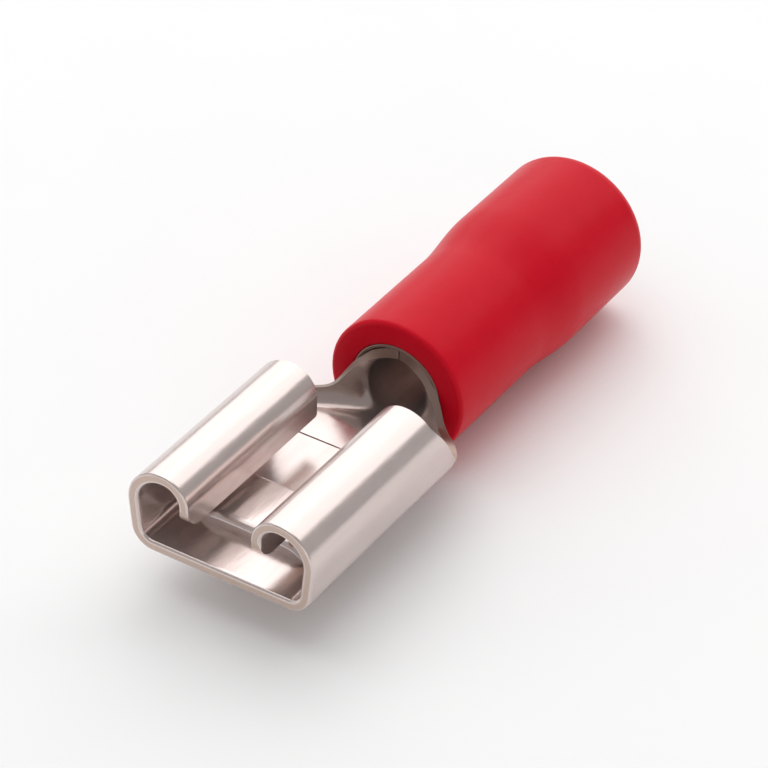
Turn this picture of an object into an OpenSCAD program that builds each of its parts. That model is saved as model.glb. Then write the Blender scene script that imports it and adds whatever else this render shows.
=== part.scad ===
// Insulated female spade terminal for a 4.8 x 0.5 mm tab and a 0.5 to 1.5 mm2 wire.
//
// One tin-plated brass stamping carries the rolled receptacle, the tapering neck and the wire
// barrel. A thin support ferrule is pressed over the barrel, and a vinyl sleeve over the ferrule.
//
// The tab enters along +Y from the mouth at Y = 0 and the wire enters along -Y from the back.
// Both share the Y axis: the barrel is round about it, and it runs midway between the spring
// strip and the edges of the rolls. X runs across the receptacle, and Z points out of its open side.

/* [Sheet] */
// Thickness of the brass sheet
sheet_t = 0.32; // [0.28:0.01:0.36]

/* [Receptacle] */
// Outer width across the two side walls
body_w = 5.84; // [5.7:0.02:6.1]
// Outer height over the two rolls
body_h = 2.62; // [2.5:0.02:2.8]
// Length of the rolls along the tab
roll_l = 6.1; // [5.8:0.1:6.6]
// Gap between the floor and the edges of the rolls
grip_gap = 0.84; // [0.7:0.02:0.95]
// Outer radius of the bend between floor and wall
corner_r = 0.68; // [0.5:0.02:0.8]
// Outward lean of the side walls in degrees
wall_lean = 6; // [2:0.5:8]
// Radius of the rounded lead-in at the front corner of each roll's edge
lead_in_r = 0.62; // [0.3:0.02:0.7]

/* [Spring strip] */
// Distance from the mouth to the front shear line
strip_y = 1.45; // [1.2:0.05:2]
// Length of the strip along the tab
strip_l = 2.05; // [1.6:0.05:2.4]
// Height that the strip is pressed up above the floor
strip_rise = 0.46; // [0.2:0.02:0.5]
// Radius of the strip's rolled front edge
strip_edge_r = 0.24; // [0.1:0.02:0.28]

/* [Neck and wire barrel] */
// Length of the neck from the bottom of the side walls to the full round of the barrel
neck_l = 1.55; // [1.4:0.05:2]
// Bore radius of the wire barrel
bore_r = 0.93; // [0.88:0.01:0.96]
// Length of the full round of the wire barrel
barrel_l = 4.55; // [3.8:0.05:4.8]
// Width of the butt seam along the top of the barrel
seam_w = 0.06; // [0.04:0.01:0.1]

/* [Support ferrule] */
// Wall thickness of the ferrule
ferrule_t = 0.17; // [0.16:0.01:0.2]
// Length of the ferrule
ferrule_l = 9.2; // [8.8:0.1:9.4]
// Bore radius of the ferrule's wide end
ferrule_wide_r = 1.5; // [1.4:0.02:1.56]

/* [Insulating sleeve] */
// Length of the sleeve
sleeve_l = 10.1; // [9.9:0.1:10.4]
// Outer radius of the front half, over the barrel
sleeve_front_r = 2.15; // [2.05:0.01:2.2]
// Outer radius of the rear half, over the wire's insulation
sleeve_rear_r = 2.35; // [2.28:0.01:2.45]
// Radius of the rounded edge at the rear end
sleeve_end_r = 0.5; // [0.3:0.02:0.52]

/* [Hidden] */
$fn = 96;
eps = 0.01;

// Receptacle section: half of the flat floor, the wall, and the two arcs of the roll
roll_in_r = 0.84;                          // outer radius on the inner side of the roll
roll_out_r = 1.1;                          // outer radius between the wall and the top
wall_x = body_w / 2;
roll_x = wall_x - roll_out_r;              // highest line of the roll
wall_z = body_h - roll_out_r;              // height at which the wall stands widest
corner_a = 90 - wall_lean;
wall_h = (wall_z - roll_out_r * sin(wall_lean) - corner_r * (1 - cos(corner_a))) / cos(wall_lean);
floor_half = roll_x + roll_out_r * cos(wall_lean) - wall_h * sin(wall_lean)
    - corner_r * sin(corner_a);
edge_z = sheet_t + grip_gap;               // height of the roll's free edge
axis_z = sheet_t + (strip_rise + grip_gap) / 2;   // the shared axis, above the floor's underside

// Flank behind the rolls: its free edge slopes down to the start of the neck
neck_y = roll_l + 1.05;
flank_z = corner_r * (1 - cos(corner_a));
flank_top_z = 2.25;
coin_y = roll_l + 0.05;                    // coined line across the floor
coin_w = 0.05;

// Barrel
barrel_r = bore_r + sheet_t;
barrel_y = neck_y + neck_l;
barrel_end_y = barrel_y + barrel_l;

// Neck: between the receptacle and the barrel the sheet is a wide, open trough
trough_r = 0.65;                           // what it adds to the bends' radius halfway
trough_a = 45;                             // what it takes off their angle halfway

// Ferrule and sleeve
ferrule_y = barrel_y - 0.15;
ferrule_r = barrel_r + ferrule_t;
ferrule_step_y = barrel_end_y + 0.15;
ferrule_step_l = 0.9;
sleeve_y = ferrule_y;
sleeve_flare_y = sleeve_y + 4.25;
sleeve_flare_l = 2.2;

function ease(u) = u * u * (3 - 2 * u);

// Points of an arc about c, from angle a0 to a1
function arc(c, r, a0, a1, n) =
    [for (i = [0 : n]) let (a = a0 + (a1 - a0) * i / n) [c[0] + r * cos(a), c[1] + r * sin(a)]];

// ---------------------------------------------------------------- receptacle
// The receptacle and the neck are drawn with the floor's underside at Z = 0.

// Right half of the receptacle's section, with the roll's free edge hanging straight down
module half_section() {
    tip_x = roll_x - roll_in_r;
    outer = concat(
        arc([floor_half, corner_r], corner_r, -90, -90 + corner_a, 12),
        arc([roll_x, wall_z], roll_out_r, -wall_lean, 90, 24),
        arc([roll_x, body_h - roll_in_r], roll_in_r, 90, 180, 20),
        [[tip_x, edge_z]]);
    inner = concat(
        [[tip_x + sheet_t, edge_z]],
        arc([roll_x, body_h - roll_in_r], roll_in_r - sheet_t, 180, 90, 16),
        arc([roll_x, wall_z], roll_out_r - sheet_t, 90, -wall_lean, 20),
        arc([floor_half, corner_r], corner_r - sheet_t, -90 + corner_a, -90, 8));
    polygon(concat([[-eps, 0]], outer, inner, [[-eps, sheet_t]]));
}

// Stands a section drawn in X and Z up and runs it from y0 over a length
module run_y(y0, length) {
    translate([0, y0 + length, 0]) rotate([90, 0, 0]) linear_extrude(length) children();
}

module both_sides() {
    children();
    mirror([1, 0, 0]) children();
}

// Rounds the front corner of the roll's free edge, so that the tab finds its way in
module lead_in_cut() {
    x0 = roll_x - roll_in_r - 0.2;
    translate([x0, 0, edge_z])
        difference() {
            translate([0, -eps, -eps]) cube([sheet_t + 0.4, lead_in_r + eps, lead_in_r + eps]);
            translate([-eps, lead_in_r, lead_in_r]) rotate([0, 90, 0]) cylinder(r = lead_in_r, h = 2);
        }
}

// Everything above the sloping free edge of the flanks, and the rolls' inner side behind them
module flank_cut() {
    rotate([90, 0, 90])
        translate([0, 0, -wall_x - 1])
            linear_extrude(2 * wall_x + 2)
                polygon([[roll_l, flank_top_z], [neck_y, flank_z], [neck_y + 1, flank_z],
                         [neck_y + 1, 4], [roll_l, 4]]);
    reach = roll_x + 0.36;
    translate([-reach, roll_l, edge_z - 0.2]) cube([2 * reach, 3, 3]);
}

// Shallow V pressed into the floor where the neck's bends start
module coined_line() {
    translate([0, coin_y, sheet_t]) rotate([45, 0, 0])
        cube([2 * floor_half, coin_w, coin_w], center = true);
}

module receptacle() {
    difference() {
        run_y(0, neck_y) {
            half_section();
            mirror([1, 0]) half_section();
        }
        both_sides() lead_in_cut();
        flank_cut();
        strip_window();
        coined_line();
    }
    spring_strip();
}

// ---------------------------------------------------------------- spring strip

strip_half = floor_half - 0.12;            // reach of the window to each side
strip_flat = strip_half - 0.75;            // half width of the strip's level top
strip_rear_r = 0.12;

module strip_window() {
    translate([-strip_half, strip_y, -1]) cube([2 * strip_half, strip_l, 1 + sheet_t + eps]);
}

// A strip of the floor, sheared at the front and the back and pressed up into a low bridge
module spring_strip() {
    intersection() {
        run_y(strip_y, strip_l)
            polygon([[-strip_half - eps, 0], [-strip_flat, strip_rise], [strip_flat, strip_rise],
                     [strip_half + eps, 0], [strip_half + eps, sheet_t],
                     [strip_flat, sheet_t + strip_rise], [-strip_flat, sheet_t + strip_rise],
                     [-strip_half - eps, sheet_t]]);
        rotate([90, 0, 90]) translate([0, 0, -wall_x]) linear_extrude(2 * wall_x) strip_side();
    }
}

// Side view of the space that the strip keeps to, with its top edges rounded by the pressing
module strip_side() {
    top = sheet_t + strip_rise;
    y1 = strip_y + strip_l;
    polygon(concat([[y1, -1]],
                   arc([y1 - strip_rear_r, top - strip_rear_r], strip_rear_r, 0, 90, 8),
                   arc([strip_y + strip_edge_r, top - strip_edge_r], strip_edge_r, 90, 180, 10),
                   [[strip_y, -1]]));
}

// ---------------------------------------------------------------- neck

// The neck's section at u, from 0 at the receptacle to 1 at the barrel. The floor narrows away
// while the bends beside it open out, and then close to the barrel's round. The free edges stay
// low along the trough, and swing up and over at the end to make the barrel's smooth mouth.
function neck_floor(u) = floor_half * pow(1 - pow(u, 1.5), 2.5);
function neck_bend(u) = corner_r + (barrel_r - corner_r) * ease(u) + trough_r * pow(sin(180 * u), 2);
function neck_drop(u) = (axis_z - barrel_r) * ease(u);
function neck_wrap(u, a0) = corner_a + (neck_end_a - corner_a) * pow(u, 2.8)
    - trough_a * sin(180 * pow(u, 1.3)) + (a0 - corner_a) * pow(1 - u, 4);

neck_steps = 18;
neck_arc_n = 20;

// The wrap starts at this angle on the inner face, so that the first free edge is level
neck_in_a = acos(corner_r * cos(corner_a) / (corner_r - sheet_t));
// It ends just short of the seam
neck_end_a = 180 - asin((seam_w / 2 + eps) / bore_r);

// Half of one section, at an inset from its outer face, from the middle of the floor to the free edge
function neck_half(u, inset) =
    let (f = neck_floor(u), r = neck_bend(u), z = neck_drop(u),
         a = neck_wrap(u, inset < sheet_t / 2 ? corner_a : neck_in_a))
    concat([[0, z + inset], [f / 2, z + inset]],
           [for (i = [0 : neck_arc_n]) let (b = a * i / neck_arc_n)
               [f + (r - inset) * sin(b), z + r - (r - inset) * cos(b)]]);

// The whole section as one loop: outer face from left to right, then inner face back
function neck_ring(u, outer_in, inner_in) =
    let (o = neck_half(u, outer_in), i = neck_half(u, inner_in), n = len(o))
    concat([for (k = [n - 1 : -1 : 1]) [-o[k][0], o[k][1]]], o,
           [for (k = [n - 1 : -1 : 0]) i[k]], [for (k = [1 : n - 1]) [-i[k][0], i[k][1]]]);

module neck() {
    tuck = 0.012;                          // the last rings lie just inside the barrel's wall
    rings = concat(
        [for (k = [0 : neck_steps - 1]) let (u = k / neck_steps)
            [neck_y + neck_l * u, neck_ring(u, 0, sheet_t)]],
        [[barrel_y, neck_ring(1, tuck, sheet_t - tuck)],
         [barrel_y + 0.05, neck_ring(1, tuck * 3, sheet_t - tuck * 2)]]);
    m = len(rings[0][1]);
    pts = [for (ring = rings) for (p = ring[1]) [p[0], ring[0], p[1]]];
    last = (len(rings) - 1) * m;
    sides = [for (k = [0 : len(rings) - 2]) for (j = [0 : m - 1])
        [k * m + j, k * m + (j + 1) % m, (k + 1) * m + (j + 1) % m, (k + 1) * m + j]];
    // The end faces are strips of quads between the outer and the inner face
    h = m / 2;
    front = [for (j = [0 : h - 2]) [j, m - 1 - j, m - 2 - j, j + 1]];
    back = [for (j = [0 : h - 2]) [last + j, last + j + 1, last + m - 2 - j, last + m - 1 - j]];
    polyhedron(pts, concat(sides, front, back), convexity = 6);
}

// ---------------------------------------------------------------- wire barrel

// Turns a section drawn as radius and distance along Y about the barrel's axis
module turn_about_axis() {
    rotate([-90, 0, 0]) rotate_extrude() children();
}

module wire_barrel() {
    difference() {
        turn_about_axis()
            translate([bore_r, barrel_y]) square([sheet_t, barrel_l]);
        // Butt seam, where the two edges of the rolled sheet meet
        translate([-seam_w / 2, barrel_y - 1, 0]) cube([seam_w, barrel_l + 2, barrel_r + 1]);
    }
}

module terminal_body() {
    color("gainsboro") {
        translate([0, 0, -axis_z]) {
            receptacle();
            neck();
        }
        wire_barrel();
    }
}

// ---------------------------------------------------------------- ferrule and sleeve

// Thin tube on the barrel that widens behind it to hold the wire's insulation when crimped
module support_ferrule() {
    y0 = ferrule_y;
    y1 = ferrule_step_y;
    y2 = y1 + ferrule_step_l;
    y3 = y0 + ferrule_l;
    lead = [0.08, 0.2];                    // opens the front end round the barrel's mouth
    color("silver")
        turn_about_axis()
            polygon([[barrel_r + lead[0], y0], [ferrule_r, y0], [ferrule_r, y1],
                     [ferrule_wide_r + ferrule_t, y2], [ferrule_wide_r + ferrule_t, y3],
                     [ferrule_wide_r, y3], [ferrule_wide_r, y2], [barrel_r, y1],
                     [barrel_r, y0 + lead[1]]]);
}

// Outer radius of the sleeve along the easing flare between its two diameters
function flare_points(n) =
    [for (i = [0 : n]) let (u = i / n)
        [sleeve_front_r + (sleeve_rear_r - sleeve_front_r) * ease(u), sleeve_flare_y + sleeve_flare_l * u]];

module insulating_sleeve() {
    y0 = sleeve_y;
    y3 = y0 + sleeve_l;
    front_r = 0.14;
    bore_wide = ferrule_wide_r + ferrule_t;
    lip = 0.25;
    color("crimson")
        turn_about_axis()
            polygon(concat(
                [[ferrule_r, y0 + 0.04], [ferrule_r + 0.06, y0]],
                arc([sleeve_front_r - front_r, y0 + front_r], front_r, -90, 0, 6),
                flare_points(14),
                arc([sleeve_rear_r - sleeve_end_r, y3 - sleeve_end_r], sleeve_end_r, 0, 90, 10),
                [[bore_wide + lip - 0.1, y3], [bore_wide, y3 - lip],
                 [bore_wide, ferrule_step_y + ferrule_step_l], [ferrule_r, ferrule_step_y]]));
}

terminal_body();
support_ferrule();
insulating_sleeve();
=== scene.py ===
"""A red insulated female spade terminal: a stamped, tin-plated body, a ferrule and a vinyl sleeve."""
from math import acos, asin, cos, pi, radians, sin

import bpy
import numpy as np
from mathutils import Matrix, Vector


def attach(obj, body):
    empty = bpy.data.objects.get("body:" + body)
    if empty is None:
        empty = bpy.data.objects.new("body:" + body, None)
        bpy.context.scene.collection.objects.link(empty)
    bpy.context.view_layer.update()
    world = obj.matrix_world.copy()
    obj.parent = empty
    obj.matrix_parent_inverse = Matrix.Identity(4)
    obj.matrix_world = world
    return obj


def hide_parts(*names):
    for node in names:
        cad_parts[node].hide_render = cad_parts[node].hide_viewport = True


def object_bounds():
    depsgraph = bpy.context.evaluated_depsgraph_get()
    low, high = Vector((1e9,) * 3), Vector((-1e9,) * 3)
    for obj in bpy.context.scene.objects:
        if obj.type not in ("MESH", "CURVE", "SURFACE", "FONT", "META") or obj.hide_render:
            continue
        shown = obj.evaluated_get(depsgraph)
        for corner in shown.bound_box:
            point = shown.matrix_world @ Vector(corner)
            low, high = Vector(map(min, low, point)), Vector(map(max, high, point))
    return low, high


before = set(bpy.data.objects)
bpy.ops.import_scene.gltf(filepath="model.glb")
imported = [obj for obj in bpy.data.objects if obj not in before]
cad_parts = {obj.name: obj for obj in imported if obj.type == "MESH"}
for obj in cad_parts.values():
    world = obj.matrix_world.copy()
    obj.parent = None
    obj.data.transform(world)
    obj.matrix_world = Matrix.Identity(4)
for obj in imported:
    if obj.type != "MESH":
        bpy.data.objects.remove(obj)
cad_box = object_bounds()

MM = 0.001

# ------------------------------------------------------------------ sizes, in millimetres
SHEET = 0.32
HALF_W = 2.92  # outer face of a side wall
HEIGHT = 2.62  # over the rolls
ROLL_LENGTH = 6.1
EDGE_Z = 1.16  # free edge of a roll, above the floor's underside
CORNER_R = 0.68
LEAN = radians(6)
ROLL_IN_R = 0.84
ROLL_OUT_R = 1.1
LEAD_IN_R = 0.62
FLANK_TOP_Z = 2.25
AXIS_Z = 0.97  # barrel's axis, above the floor's underside
NECK_Y = 7.15
BARREL_Y = 8.7
BARREL_END_Y = 13.25
BORE_R = 0.93
BARREL_R = BORE_R + SHEET
TROUGH_R = 0.65  # what the neck's trough adds to the bends' radius, and takes off their angle
TROUGH_A = radians(45)
SEAM_HALF = 0.012
FERRULE_T = 0.17
NECK_THINNING = 0.32  # share of its thickness that the neck's rear half loses
COIN_Y = 6.15
COIN_DEPTH = 0.03
STRIP_Y = (1.45, 3.5)
STRIP_RISE = 0.46
STRIP_OVERLAP = 0.03  # how far the strip's ends run into the floor
LIP_DROP = 0.17  # how far the strip's front edge is curled down
EDGE_ROUND = 0.045  # rounding of the sheet's sheared edges
MOUTH_ROUND = (0.06, 0.10)  # and at the mouth, on the outer and the inner face
ROLL_REAR_R = 0.1  # rounded corner at the rear of a roll's free edge

FERRULE_Y = BARREL_Y - 0.15
FERRULE_LENGTH = 9.2
FERRULE_WIDE_R = 1.5
SLEEVE_LENGTH = 10.1
SLEEVE_R = (2.15, 2.35)  # in front of the flare and behind it

ROLL_X = HALF_W - ROLL_OUT_R
WALL_Z = HEIGHT - ROLL_OUT_R
WRAP = pi / 2 - LEAN
BEND_TOP_Z = CORNER_R * (1 - cos(WRAP))
WALL = (WALL_Z - ROLL_OUT_R * sin(LEAN) - BEND_TOP_Z) / cos(LEAN)
FLOOR_HALF = ROLL_X + ROLL_OUT_R * cos(LEAN) - WALL * sin(LEAN) - CORNER_R * sin(WRAP)
STRIP_HALF = FLOOR_HALF - 0.12
STRIP_FLAT = STRIP_HALF - 0.75

# Lengths along the sheet's outer face, from the middle of the floor
BEND_END = FLOOR_HALF + CORNER_R * WRAP
WALL_END = BEND_END + WALL
FLANK_END = WALL_END + ROLL_OUT_R * (LEAN + asin((FLANK_TOP_Z - WALL_Z) / ROLL_OUT_R))
FREE_EDGE = WALL_END + ROLL_OUT_R * (LEAN + pi / 2) + ROLL_IN_R * pi / 2 + HEIGHT - ROLL_IN_R - EDGE_Z


# ------------------------------------------------------------------ meshes


def make_piece(name, verts, faces, node, sharp=40, round_edges=None, edge_faces=0):
    """One mesh object, in millimetres turned to metres, that stands for a CAD node.

    round_edges is an array of point pairs to bevel, and the last edge_faces faces take the second
    material."""
    mesh = bpy.data.meshes.new(name)
    mesh.from_pydata((np.asarray(verts) * MM).tolist(), [], faces)
    mesh.validate()
    is_edge = np.arange(len(mesh.polygons)) >= len(mesh.polygons) - edge_faces
    mesh.polygons.foreach_set("material_index", is_edge.astype(np.int32))
    mesh.polygons.foreach_set("use_smooth", np.ones(len(mesh.polygons), bool))
    mesh.set_sharp_from_angle(angle=radians(sharp))
    obj = bpy.data.objects.new(name, mesh)
    bpy.context.scene.collection.objects.link(obj)
    if round_edges is not None:
        ends = np.empty(len(mesh.edges) * 2, np.int64)
        mesh.edges.foreach_get("vertices", ends)
        ends = np.sort(ends.reshape(-1, 2), axis=1)
        codes = ends[:, 0] * len(verts) + ends[:, 1]
        pairs = np.sort(round_edges, axis=1)
        weight = np.isin(codes, pairs[:, 0] * len(verts) + pairs[:, 1]).astype(np.float32)
        mesh.attributes.new("bevel_weight_edge", "FLOAT", "EDGE").data.foreach_set("value", weight)
        bevel = obj.modifiers.new("rounded sheared edges", "BEVEL")
        bevel.limit_method = "WEIGHT"
        bevel.width = EDGE_ROUND * MM
        bevel.segments = 3
        bevel.harden_normals = True
        bevel.material = 0
        bevel.use_clamp_overlap = True
    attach(obj, "root")
    if node:
        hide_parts(node)
    return obj


def turned(name, profile, node, sides=192, sharp=32):
    """A closed profile of (radius, y) turned about the Y axis.

    The profile's point (r, y) at the angle a lies at x = r times cosine of a, z = r times sine
    of a, and y stays."""
    r, y = np.asarray(profile, float).T
    a = np.linspace(0, 2 * pi, sides, endpoint=False)[:, None]
    verts = np.stack([r * np.cos(a), y + 0 * a, r * np.sin(a)], -1).reshape(-1, 3)
    n = len(r)
    i, j = np.meshgrid(np.arange(sides), np.arange(n), indexing="ij")
    i2, j2 = (i + 1) % sides, (j + 1) % n
    faces = np.stack([i * n + j, i * n + j2, i2 * n + j2, i2 * n + j], -1).reshape(-1, 4)
    area = np.sum(r * np.roll(y, -1) - np.roll(r, -1) * y)
    if area < 0:
        faces = faces[:, ::-1]
    return make_piece(name, verts, faces.tolist(), node, sharp)


def arc(centre, radius, start, stop, count):
    """Points on an arc about a centre, the angles in degrees."""
    a = np.radians(np.linspace(start, stop, count))
    return np.stack([centre[0] + radius * np.cos(a), centre[1] + radius * np.sin(a)], -1)


def ease(u):
    """0 to 1 with a level start and end."""
    return u * u * (3 - 2 * u)


# ------------------------------------------------------------------ stamped body


def bent_strip(s, depth, floor, bend_r, wrap, wall, rolled):
    """Section of the sheet at a length s along its outer face and a depth below that face.

    A flat of half width floor, a bend of radius bend_r through the angle wrap, a straight wall
    along the bend's last tangent, and on the receptacle the two arcs and the straight edge of the
    roll. Each depth moves a point along the normal, so all faces stay parallel."""
    s1 = floor + bend_r * wrap
    s2 = s1 + wall
    s3 = s2 + ROLL_OUT_R * (pi / 2 + LEAN)
    s4 = s3 + ROLL_IN_R * pi / 2
    b = np.clip((s - floor) / bend_r, 0, wrap)
    x = np.minimum(s, floor) + (bend_r - depth) * np.sin(b)
    z = bend_r - (bend_r - depth) * np.cos(b)
    w = np.maximum(s - s1, 0)
    x = x + w * np.cos(wrap)
    z = z + w * np.sin(wrap)
    if rolled:
        a = -LEAN + np.clip((s - s2) / ROLL_OUT_R, 0, pi / 2 + LEAN)
        on = s > s2
        x = np.where(on, ROLL_X + (ROLL_OUT_R - depth) * np.cos(a), x)
        z = np.where(on, WALL_Z + (ROLL_OUT_R - depth) * np.sin(a), z)
        a = pi / 2 + np.clip((s - s3) / ROLL_IN_R, 0, pi / 2)
        on = s > s3
        x = np.where(on, ROLL_X + (ROLL_IN_R - depth) * np.cos(a), x)
        z = np.where(on, HEIGHT - ROLL_IN_R + (ROLL_IN_R - depth) * np.sin(a), z)
        z = z - np.maximum(s - s4, 0)
    return x, z


def receptacle_edges(y):
    """Lengths along the sheet, at one y, to the core's end and to the roll's free edge.

    The core ends high on the roll, and behind the roll it follows the straight slope of the flank
    down to the neck. The free edge is rounded by a quarter circle at the mouth and at the rear."""
    core_end = FLANK_END
    if y > ROLL_LENGTH + 1e-9:
        drop = (y - ROLL_LENGTH) / (NECK_Y - ROLL_LENGTH)
        z = FLANK_TOP_Z + (BEND_TOP_Z - FLANK_TOP_Z) * drop
        on_arc = (z - WALL_Z) / ROLL_OUT_R
        core_end = BEND_END + (z - BEND_TOP_Z) / cos(LEAN)
        if on_arc > -sin(LEAN):
            core_end = WALL_END + ROLL_OUT_R * (LEAN + asin(on_arc))
    free_edge = FREE_EDGE
    if y < LEAD_IN_R:
        free_edge -= LEAD_IN_R - (LEAD_IN_R**2 - (LEAD_IN_R - y) ** 2) ** 0.5
    if y > ROLL_LENGTH - ROLL_REAR_R:
        reach = min((y - ROLL_LENGTH) / ROLL_REAR_R + 1, 1.0)
        free_edge -= ROLL_REAR_R - ROLL_REAR_R * max(1 - reach**2, 0.0) ** 0.5
    return core_end, free_edge


def neck_section(u):
    """Half flat, bend's radius, bend's angle and rise of the section at u, 0 to 1 along the neck.

    The flat narrows away. The bends open to a trough, then close round to the barrel's seam."""
    flat = FLOOR_HALF * (1 - u**1.5) ** 2.5
    bend_r = CORNER_R + (BARREL_R - CORNER_R) * ease(u) + TROUGH_R * sin(pi * u) ** 2
    wrap = WRAP + (pi - SEAM_HALF / BORE_R - WRAP) * u**2.8 - TROUGH_A * sin(pi * u**1.3)
    rise = (AXIS_Z - BARREL_R) * ease(u)
    return flat, bend_r, wrap, rise


def stamped_body():
    """The whole sheet as two parallel grids, outer and inner, joined along the stamped outline.

    Rows run across the sheet at one y each. Columns are lengths along the outer face, from the
    middle of the floor to the free edge, and the left half mirrors the right. Each row's points
    come from bent_strip, with the receptacle's fixed section or the neck's changing one. In the
    neck, the outer face is the inner one plus the thickness times the normal, which is the cross
    product of the grid's two directions."""
    swing = acos(1 - MOUTH_ROUND[1] / LEAD_IN_R)
    y = np.concatenate([
        MOUTH_ROUND[1] * (1 - np.cos(np.linspace(0, pi / 2, 9))),
        LEAD_IN_R * (1 - np.cos(np.linspace(swing, pi / 2, 9)[1:])),
        np.linspace(LEAD_IN_R, STRIP_Y[0], 6)[1:],
        np.linspace(*STRIP_Y, 12)[1:],
        np.linspace(STRIP_Y[1], ROLL_LENGTH - ROLL_REAR_R, 14)[1:],
        ROLL_LENGTH - ROLL_REAR_R * (1 - np.sin(np.linspace(0, pi / 2, 6)[1:])),
        COIN_Y + np.array([-0.03, 0.0, 0.03]),
        np.linspace(COIN_Y + 0.03, NECK_Y, 12)[1:],
        np.linspace(NECK_Y, BARREL_Y, 60)[1:],
        np.linspace(BARREL_Y, BARREL_END_Y, 20)[1:],
    ])
    rows = len(y)
    n_slot, n_side, n_core, n_roll = 14, 2, 44, 40
    cols = n_slot + n_side + n_core
    in_slot = np.linspace(0, STRIP_HALF, n_slot + 1)
    in_floor = np.concatenate([in_slot, np.linspace(STRIP_HALF, FLOOR_HALF, n_side + 1)[1:]])

    x = np.zeros((2, rows, cols + n_roll + 1))
    z = np.zeros_like(x)
    worn = [r * (1 - np.sqrt(1 - (1 - np.minimum(y / r, 1)) ** 2)) for r in MOUTH_ROUND]
    even = np.linspace(0, 1, cols + 1)
    for k, yk in enumerate(y):
        depths = np.array([worn[0][k], SHEET - worn[1][k]])[:, None]
        if yk <= NECK_Y + 1e-9:
            core_end, free_edge = receptacle_edges(yk)
            core = np.linspace(FLOOR_HALF, core_end, n_core + 1)[1:]
            roll = np.linspace(core_end, free_edge, n_roll + 1)[1:]
            s = np.concatenate([in_floor, core, roll])
            x[:, k], z[:, k] = bent_strip(s, depths, FLOOR_HALF, CORNER_R, WRAP, WALL, True)
            last_core = s[: cols + 1] / s[cols]
        else:
            u = min((yk - NECK_Y) / (BARREL_Y - NECK_Y), 1.0)
            flat, bend_r, wrap, rise = neck_section(u)
            s = ((1 - ease(u)) * last_core + ease(u) * even) * (flat + bend_r * wrap)
            s = np.concatenate([s, np.full(n_roll, s[-1])])
            x[:, k], z[:, k] = bent_strip(s, depths, flat, bend_r, wrap, 0, False)
            z[:, k] += rise

    # The neck's outer face lies one sheet thickness from its inner face, square to it in space
    point = np.stack([x, np.broadcast_to(y[None, :, None], x.shape), z], -1)
    inside = point[1, :, : cols + 1]
    through = np.cross(np.gradient(inside, axis=0), np.gradient(inside, axis=1))
    u = np.clip((y - NECK_Y) / (BARREL_Y - NECK_Y), 0, 1)[:, None]
    through[..., 1] *= 1 - u**3
    through /= np.linalg.norm(through, axis=-1, keepdims=True)
    neck = (u[:, 0] > 0) & (u[:, 0] < 1)
    thin = SHEET * (1 - NECK_THINNING * np.sin(pi * np.clip(u * 2 - 1, 0, 1))[..., None])
    point[0, neck, : cols + 1] = (inside + thin * through)[neck]
    x, z = point[..., 0], point[..., 2]

    # A coined line crosses the floor's upper face where the neck begins
    line = np.abs(y - COIN_Y) < 1e-6
    z[1][line] -= COIN_DEPTH * np.clip((FLOOR_HALF - x[1][line]) / 0.2, 0, 1)

    point[..., 2] -= AXIS_Z
    whole = np.concatenate([point[:, :, :0:-1] * [-1, 1, 1], point], axis=2)
    verts = whole.reshape(-1, 3)
    wide = whole.shape[2]
    mid = cols + n_roll

    # Cells of the blank: all but the window under the spring strip and what lies outside the edges
    r0 = np.arange(rows - 1)[:, None]
    c0 = np.arange(wide - 1)[None, :]
    half = np.where(c0 >= mid, c0 - mid, mid - 1 - c0)
    y_mid = (y[:-1] + y[1:])[:, None] / 2
    blank = (half < cols) | (y_mid < ROLL_LENGTH)
    blank &= ~((half < n_slot) & (y_mid > STRIP_Y[0]) & (y_mid < STRIP_Y[1]))

    index = np.arange(2 * rows * wide).reshape(2, rows, wide)
    corner = [index[:, :-1, :-1], index[:, :-1, 1:], index[:, 1:, 1:], index[:, 1:, :-1]]
    outer = np.stack([c[0][blank] for c in corner], -1)[:, ::-1]
    inner = np.stack([c[1][blank] for c in corner], -1)

    # The stamped outline: cell sides with no cell beyond them
    padded = np.pad(blank, 1)
    rim, round_edges = [], []
    for a, b, beyond in (
        (0, 1, padded[:-2, 1:-1]),
        (1, 2, padded[1:-1, 2:]),
        (2, 3, padded[2:, 1:-1]),
        (3, 0, padded[1:-1, :-2]),
    ):
        open_side = blank & ~beyond
        oa, ob = corner[a][0][open_side], corner[b][0][open_side]
        ia, ib = corner[a][1][open_side], corner[b][1][open_side]
        rim.append(np.stack([oa, ob, ib, ia], -1))
        square = verts[oa, 1] + verts[ob, 1] > 2e-6  # all but the mouth, which is round by now
        round_edges += [np.stack([oa, ob], -1)[square], np.stack([ia, ib], -1)[square]]
    faces = np.concatenate([outer, inner] + rim)
    round_edges = np.concatenate(round_edges)

    # Only the points in use, renumbered
    used = np.unique(faces)
    renumber = np.full(len(verts), -1)
    renumber[used] = np.arange(len(used))
    return make_piece(
        "stamped_body", verts[used], renumber[faces].tolist(), "terminal_body",
        round_edges=renumber[round_edges], edge_faces=sum(len(r) for r in rim),
    )


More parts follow.
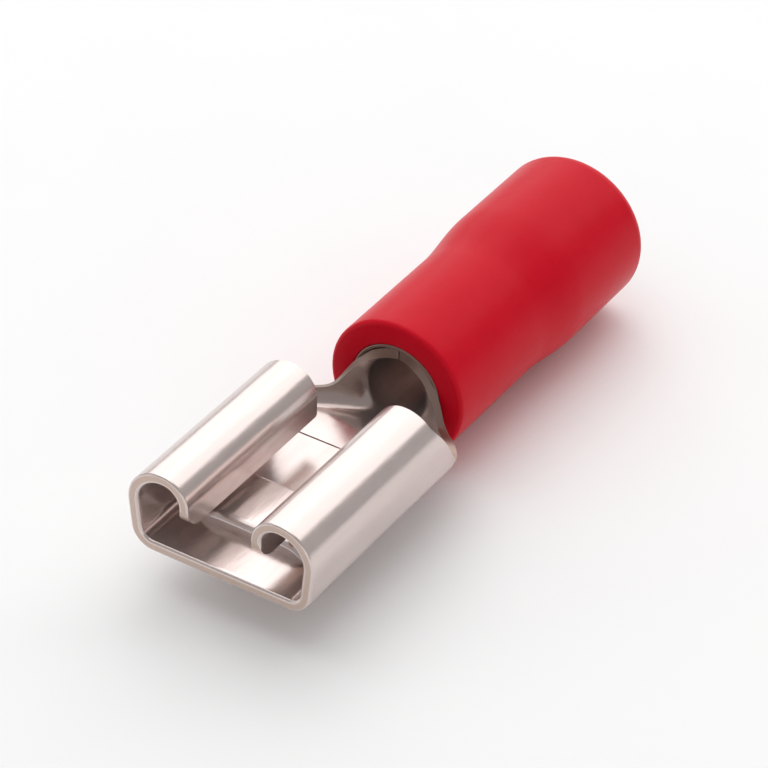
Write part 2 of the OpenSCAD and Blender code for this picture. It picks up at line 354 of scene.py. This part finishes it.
def spring_strip():
    """The strip's side profile, with rounded top edges, carried across on a low bridge's path.

    Each point is (x, y of the profile, z of the profile + height of the path at x). The path is
    level in the middle and falls to the floor at both ends, as a ramp with two softened kinks:
    the difference of two soft steps, soft times the logarithm of 1 + e to the run over soft."""
    top, y0, y1 = SHEET, *STRIP_Y
    rear_r, front_r, lip_r, lip_points = 0.12, 0.24, 0.05, 6
    profile = np.concatenate([
        [[y0 + 0.26, 0.0], [y1 - 0.02, 0.0], [y1, 0.02]],
        arc((y1 - rear_r, top - rear_r), rear_r, 0, 90, 7),
        arc((y0 + front_r, top - front_r), front_r, 90, 180, 10),
        [[y0, 0.06]],
        arc((y0 + lip_r, lip_r), lip_r, 180, 270, 5),
        [[y0 + 0.2, 0.0]],
    ])
    # The front edge is curled down where the strip stands high
    lip = np.zeros(len(profile))
    lip[-lip_points:] = -LIP_DROP
    side = np.linspace(-STRIP_HALF - STRIP_OVERLAP, -STRIP_FLAT + 0.25, 22)
    x = np.concatenate([side, np.linspace(side[-1], -side[-1], 10)[1:-1], -side[::-1]])
    run = (STRIP_HALF - np.abs(x)) / (STRIP_HALF - STRIP_FLAT)
    soft = 0.12
    rise = np.log1p(np.exp(run / soft)) - np.log1p(np.exp((run - 1) / soft))
    rise *= STRIP_RISE * soft
    rise -= np.clip(rise[0] * (1 - run), 0, rise[0])
    verts = np.stack([
        np.broadcast_to(x[:, None], (len(x), len(profile))),
        np.broadcast_to(profile[None, :, 0], (len(x), len(profile))),
        profile[None, :, 1] + rise[:, None] * (1 + lip / STRIP_RISE) - AXIS_Z,
    ], -1).reshape(-1, 3)
    n = len(profile)
    i, j = np.meshgrid(np.arange(len(x) - 1), np.arange(n), indexing="ij")
    j2 = (j + 1) % n
    faces = np.stack([i * n + j, i * n + j2, (i + 1) * n + j2, (i + 1) * n + j], -1).reshape(-1, 4)
    ends = [list(range(n))[::-1], list(range((len(x) - 1) * n, len(x) * n))]
    return make_piece("spring_strip", verts, faces.tolist() + ends, None)


body = stamped_body()
strip = spring_strip()

# ------------------------------------------------------------------ ferrule and sleeve
tube_in = BARREL_R
tube_out = tube_in + FERRULE_T
wide_in = FERRULE_WIDE_R
wide_out = wide_in + FERRULE_T
ferrule_end = FERRULE_Y + FERRULE_LENGTH
widens_y = BARREL_END_Y + 0.15
wide_y = widens_y + 0.9
ferrule = turned(
    "support_ferrule_tube",
    np.concatenate([
        [[tube_in, FERRULE_Y + 0.2], [tube_in + 0.08, FERRULE_Y + 0.01]],
        arc((tube_out - 0.04, FERRULE_Y + 0.04), 0.04, -90, 0, 6),
        [[tube_out, widens_y], [wide_out, wide_y]],
        arc((wide_out - 0.05, ferrule_end - 0.05), 0.05, 0, 90, 5),
        [[wide_in + 0.02, ferrule_end], [wide_in, ferrule_end - 0.02]],
        [[wide_in, wide_y], [tube_in, widens_y]],
    ]),
    "support_ferrule",
)

slim_r, full_r = SLEEVE_R
sleeve_end = FERRULE_Y + SLEEVE_LENGTH
flare_y = FERRULE_Y + 4.25
flare_length = 2.2
u = np.linspace(0, 1, 25)
slim_y = FERRULE_Y + 0.2 + (flare_y - FERRULE_Y - 0.2) * u
sleeve = turned(
    "insulating_sleeve_tube",
    np.concatenate([
        arc((tube_out + 0.06, FERRULE_Y + 0.06), 0.06, 180, 270, 6),
        arc((slim_r - 0.14, FERRULE_Y + 0.14), 0.14, -90, 0, 9),
        np.stack([slim_r + 0 * u, slim_y], -1)[1:-1],
        np.stack([slim_r + (full_r - slim_r) * ease(u), flare_y + flare_length * u], -1),
        arc((full_r - 0.5, sleeve_end - 0.5), 0.5, 0, 90, 14),
        arc((wide_out + 0.12, sleeve_end - 0.12), 0.12, 90, 180, 7),
        [[wide_out, ferrule_end], [wide_out, wide_y], [tube_out, widens_y]],
    ]),
    "insulating_sleeve",
)


# ------------------------------------------------------------------ materials


class Wire:
    """A value in a material's node tree; the operators add Math nodes."""

    def __init__(self, recipe, socket):
        self.recipe, self.socket = recipe, socket

    def maths(self, operation, *values):
        return self.recipe.node("ShaderNodeMath", {"operation": operation}, dict(enumerate(values)))

    def __add__(self, other):
        return self.maths("ADD", self, other)

    __radd__ = __add__

    def __sub__(self, other):
        return self.maths("SUBTRACT", self, other)

    def __rsub__(self, other):
        return self.maths("SUBTRACT", other, self)

    def __mul__(self, other):
        return self.maths("MULTIPLY", self, other)

    __rmul__ = __mul__


class Recipe:
    """One material: node() adds any node, with its settings first and then its sockets."""

    def __init__(self, name):
        self.material = bpy.data.materials.new(name)
        self.material.use_nodes = True
        self.tree = self.material.node_tree
        self.shader = self.tree.nodes["Principled BSDF"]

    def put(self, node, key, value):
        socket = node.inputs[key]
        if isinstance(value, Wire):
            self.tree.links.new(value.socket, socket)
        else:
            socket.default_value = value

    def node(self, kind, settings, inputs, out=0):
        node = self.tree.nodes.new(kind)
        for key, value in settings.items():
            setattr(node, key, value)
        for key, value in inputs.items():
            self.put(node, key, value)
        return Wire(self, node.outputs[out])

    def finish(self, **sockets):
        for key, value in sockets.items():
            self.put(self.shader, key.replace("_", " "), value)
        return self.material

    def place(self, stretch=(1, 1, 1)):
        """Object coordinates in millimetres, stretched along an axis where a number is below 1."""
        place = self.node("ShaderNodeTexCoord", {}, {}, out="Object")
        return self.node("ShaderNodeMapping", {}, {"Vector": place, "Scale": [s / MM for s in stretch]})

    def noise(self, scale, detail=3.0, rough=0.5, stretch=(1, 1, 1)):
        """Noise with about scale features in each millimetre."""
        return self.node(
            "ShaderNodeTexNoise", {},
            {"Vector": self.place(stretch), "Scale": scale, "Detail": detail, "Roughness": rough},
        )

    def bump(self, height):
        """The normal over a height in millimetres."""
        return self.node("ShaderNodeBump", {}, {"Height": height, "Strength": 1.0, "Distance": MM})

    def blend(self, factor, *colours):
        a, b = (c if isinstance(c, Wire) else (*c, 1) for c in colours)
        return self.node("ShaderNodeMix", {"data_type": "RGBA"}, {0: factor, 6: a, 7: b}, out=2)


def step_up(m, start, stop):
    """0 before one place along Y and 1 after another, in millimetres, eased between them."""
    y = m.node("ShaderNodeSeparateXYZ", {}, {"Vector": m.place()}, out="Y")
    eased = {"interpolation_type": "SMOOTHSTEP"}
    return m.node("ShaderNodeMapRange", eased, {"Value": y, "From Min": start, "From Max": stop})


NECK_PAINTED_SHADE = (0.26, 0.18, 0.15)  # painted shade: a darker brown laid along the neck, inside and out, for the shade inside its cavity


def tin_plate(name, colour, shade, roughness, neck_shade, metallic):
    """Tin plate: a warm grey sheen, drawn faintly along the sheet, with soft smudges.

    The argument before metallic is how far the colour turns to brown along the neck, a painted shade
    for the shade inside the neck."""
    m = Recipe(name)
    drawn = m.noise(5.0, 5.0, 0.65, (1, 0.06, 1))
    smudge = m.noise(0.8, 4.0, 0.55)
    waves = m.noise(1.3, 3.0, 0.5, (1, 0.3, 1))
    base = m.blend(smudge * 0.4 + drawn * 0.6, shade, colour)
    if neck_shade:
        # Painted shade: the colour turns brown along the neck, inside and out, for the shade inside its
        # cavity
        neck = step_up(m, 6.5, 7.9) * (1 - step_up(m, 8.6, 9.2))
        base = m.blend(neck * neck_shade, base, NECK_PAINTED_SHADE)
    return m.finish(
        Base_Color=base,
        Metallic=metallic,
        Roughness=roughness + drawn * 0.08 + smudge * 0.08,
        Normal=m.bump(waves * 0.012),
    )


def vinyl():
    """Moulded vinyl: deep red with a faint cloudiness and a satin skin."""
    m = Recipe("red vinyl")
    cloud = m.noise(1.1, 4.0, 0.6)
    fine = m.noise(9.0, 3.0, 0.6)
    skin = m.noise(16.0, 3.0, 0.55)
    return m.finish(
        Base_Color=m.blend(cloud * 0.7 + fine * 0.3, (0.57, 0.003, 0.013), (0.68, 0.007, 0.024)),
        Roughness=0.27 + fine * 0.1,
        Specular_IOR_Level=0.08,
        Normal=m.bump(skin * 0.004 + cloud * 0.01),
    )


tin = tin_plate("tin plated brass", (0.80, 0.69, 0.66), (0.60, 0.505, 0.48), 0.14, 0.45, 0.80)
# Painted shade on the cut edges: a darker brown than the plate, for the shade on end faces turned to
# the front, and browner still along the neck
sheared = tin_plate("sheared edge", (0.64, 0.50, 0.43), (0.50, 0.385, 0.33), 0.30, 0.85, 0.85)
# Painted shade: the ferrule's tin is a dark brown, for the shade where its ring sits between the barrel
# and the sleeve, and down the bore
shaded_ferrule_tin = tin_plate("tinned ferrule", (0.33, 0.235, 0.205), (0.27, 0.19, 0.165), 0.30, 0.0, 1.0)
coats = ((body, tin), (body, sheared), (strip, tin), (ferrule, shaded_ferrule_tin), (sleeve, vinyl()))
for piece, coat in coats:
    piece.data.materials.append(coat)

# ------------------------------------------------------------------ floor, light and camera
lowest = cad_box[0][2]
reach = 3.0
corners = [(x * reach, y * reach, lowest) for x, y in ((-1, -1), (1, -1), (1, 1), (-1, 1))]
floor_mesh = bpy.data.meshes.new("floor")
floor_mesh.from_pydata(corners, [], [(0, 1, 2, 3)])
floor = bpy.data.objects.new("floor", floor_mesh)
bpy.context.scene.collection.objects.link(floor)
paper = Recipe("white paper")
clouds = paper.noise(0.2, 2.0)
floor_mesh.materials.append(paper.finish(
    Base_Color=paper.blend(clouds, (0.94, 0.94, 0.94), (0.96, 0.96, 0.96)), Roughness=0.9,
))

world = bpy.data.worlds.new("studio")
bpy.context.scene.world = world
world.use_nodes = True
sky = world.node_tree.nodes["Background"].inputs
sky["Color"].default_value = (1.0, 1.0, 1.0, 1)
sky["Strength"].default_value = 0.43


AIM = (0.0, 0.009, 0.0)


def soft_box(name, place, size, radiance):
    """A rectangular area lamp of even radiance that faces the object."""
    data = bpy.data.lights.new(name, "AREA")
    data.shape = "RECTANGLE"
    data.size, data.size_y = size
    data.energy = radiance * pi * size[0] * size[1]
    lamp = bpy.data.objects.new(name, data)
    lamp.location = place
    lamp.rotation_euler = (Vector(place) - Vector(AIM)).to_track_quat("Z", "Y").to_euler()
    bpy.context.scene.collection.objects.link(lamp)


soft_box("back", (-0.12, 0.42, 0.30), (0.9, 0.5), 1.38)
soft_box("left", (-0.38, -0.16, 0.16), (0.35, 0.25), 0.35)
soft_box("front", (0.30, -0.34, 0.07), (0.30, 0.14), 0.7)
soft_box("overhead", (-0.10, 0.05, 0.45), (0.5, 0.5), 1.2)

turn, tilt, roll = radians(31.77), radians(36.408), radians(1.411)
back = Vector((sin(turn) * cos(tilt), -cos(turn) * cos(tilt), sin(tilt)))
right = Vector((cos(turn), sin(turn), 0))
up = back.cross(right)
right, up = cos(roll) * right + sin(roll) * up, cos(roll) * up - sin(roll) * right
camera_data = bpy.data.cameras.new("camera")
camera_data.sensor_width = 36
camera_data.lens = 163.94
camera_data.clip_start = 0.001
camera = bpy.data.objects.new("camera", camera_data)
bpy.context.scene.collection.objects.link(camera)
looks_at = Vector((0.000177, 0.007665, 0.000797))
distance = 0.095728
facing = Matrix((right, up, back)).transposed().to_4x4()
camera.matrix_world = Matrix.Translation(looks_at + back * distance) @ facing
bpy.context.scene.camera = camera
bpy.context.scene.view_settings.view_transform = "Standard"
